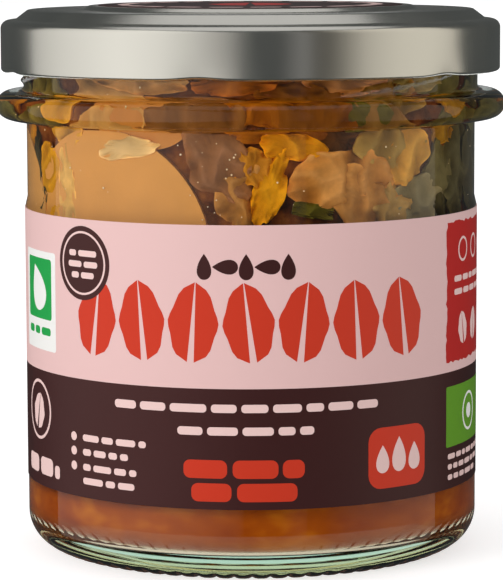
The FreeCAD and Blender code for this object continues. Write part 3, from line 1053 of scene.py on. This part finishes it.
softbox("left_softbox", -116, -4, 0.55, -0.35, 0.75,
        ((0.0, 0.60), (0.138, 0.68), (0.377, 0.89), (0.514, 1.04), (0.64, 0.88), (0.80, 0.55), (0.948, 0.34),
         (1.0, 0.14)), "#fffdf9")
softbox("right_softbox", 27, 105, 0.55, -0.35, 0.75,
        ((0.0, 0.09), (0.14, 0.10), (0.24, 0.30), (0.34, 0.54), (0.47, 0.68), (0.654, 0.76), (0.90, 0.70),
         (1.0, 0.62)), "#fff9ec")
softbox("front_strip", 14, 32, 0.80, -0.35, 0.75, ((0.0, 0.07), (0.5, 0.26), (1.0, 0.07)))

key = linked("key_lamp", bpy.data.lights.new("key_lamp", "AREA"))
key.data.energy = 4.8
key.data.size = 0.45
key.location = (-0.85, -0.70, 0.42)
key.rotation_euler = (Vector((0, 0, 0.05)) - key.location).to_track_quat("-Z", "Y").to_euler()
key.visible_camera = key.visible_glossy = key.visible_transmission = False

# A small card behind and a large one overhead, for the shiny faces that look back and up.
back_light = card("back_light", (-0.005, 1.5, 0.22), (-1, 0, 0), (0, 0, 1), 0.20, 0.40)
back_light.data.materials.append(glowing("back_light_cloth", (1, 1, 1, 1), 0.40))
shines_only(back_light)

ceiling = card("ceiling", (0, 0, 2.4), (1, 0, 0), (0, 1, 0), 3.2, 3.2)
ceiling.data.materials.append(glowing("ceiling_cloth", (1, 1, 1, 1), 0.62))
shines_only(ceiling)

# The floor takes the jar's shadow and is otherwise as white as the world behind it.
floor = card("floor", (0, 0, -0.0002), (1, 0, 0), (0, 1, 0), 8, 8)
matt, tree, out = material("white_floor")
lit = add(tree, "ShaderNodeBsdfDiffuse", Color=(0.86, 0.86, 0.86, 1))
glow = add(tree, "ShaderNodeEmission", Color=(1, 1, 1, 1), Strength=0.5)
ray = add(tree, "ShaderNodeLightPath")
sight = add(tree, "ShaderNodeMath", {"operation": "MAXIMUM"}, i0=ray.outputs["Is Camera Ray"],
            i1=ray.outputs["Is Transmission Ray"])
dark = add(tree, "ShaderNodeEmission", Color=(0, 0, 0, 1), Strength=0.0)
seen = add(tree, "ShaderNodeMixShader", i0=sight.outputs[0], i1=dark.outputs[0], i2=glow.outputs[0])
whole = add(tree, "ShaderNodeAddShader", i0=lit.outputs[0], i1=seen.outputs[0])
tree.links.new(whole.outputs[0], out.inputs[0])
floor.data.materials.append(matt)
floor.visible_glossy = False

# A velvet drum round the set is what the metal and the glass show between the lights.
drum_r = 1.6
surround_verts = [(drum_r * math.sin(math.radians(a)), -drum_r * math.cos(math.radians(a)), z)
                  for a in range(0, 360, 10) for z in (-1.2, 2.4)]
surround_faces = [(2 * k, 2 * k + 1, (2 * k + 3) % 72, (2 * k + 2) % 72) for k in range(36)]
surround_faces.append(tuple(range(0, 72, 2)))
mesh = bpy.data.meshes.new("dark_surround")
mesh.from_pydata(surround_verts, [], surround_faces)
surround = linked("dark_surround", mesh)
surround.data.materials.append(glowing("black_velvet", (0.066, 0.072, 0.072, 1)))
shines_only(surround)
surround.visible_volume_scatter = False

# The world is plain white wherever it is seen, and lights the jar with a weaker, even fill.
world = bpy.data.worlds.new("studio")
bpy.context.scene.world = world
world.use_nodes = True
tree = world.node_tree
tree.nodes.clear()
ray = add(tree, "ShaderNodeLightPath")
sight = add(tree, "ShaderNodeMath", {"operation": "MAXIMUM"}, i0=ray.outputs["Is Camera Ray"],
            i1=ray.outputs["Is Transmission Ray"])
shown = add(tree, "ShaderNodeMath", {"operation": "MAXIMUM"}, i0=sight.outputs[0],
            i1=ray.outputs["Is Glossy Ray"])
fill = add(tree, "ShaderNodeBackground", Color=(1, 1, 1, 1), Strength=0.74)
white = add(tree, "ShaderNodeBackground", Color=(1, 1, 1, 1), Strength=1.0)
sky = add(tree, "ShaderNodeMixShader", i0=shown.outputs[0], i1=fill.outputs[0], i2=white.outputs[0])
tree.links.new(sky.outputs[0], add(tree, "ShaderNodeOutputWorld").inputs[0])
bpy.context.scene.view_settings.view_transform = "Standard"

# The camera stands half a metre off, a little above the jar, and looks down at its middle.
camera = linked("camera", bpy.data.cameras.new("camera"))
bpy.context.scene.camera = camera
camera.data.lens = 185.8
camera.data.sensor_width = 36
camera.data.clip_start, camera.data.clip_end = 0.01, 20
rise = math.radians(6.816)
aim = Vector((0.00004, 0, 0.0436))
camera.location = aim + 0.5173 * Vector((0, -math.cos(rise), math.sin(rise)))
camera.rotation_euler = (Matrix.Rotation(math.pi / 2 - rise, 3, "X")
                         @ Matrix.Rotation(math.radians(-0.2), 3, "Z")).to_euler()
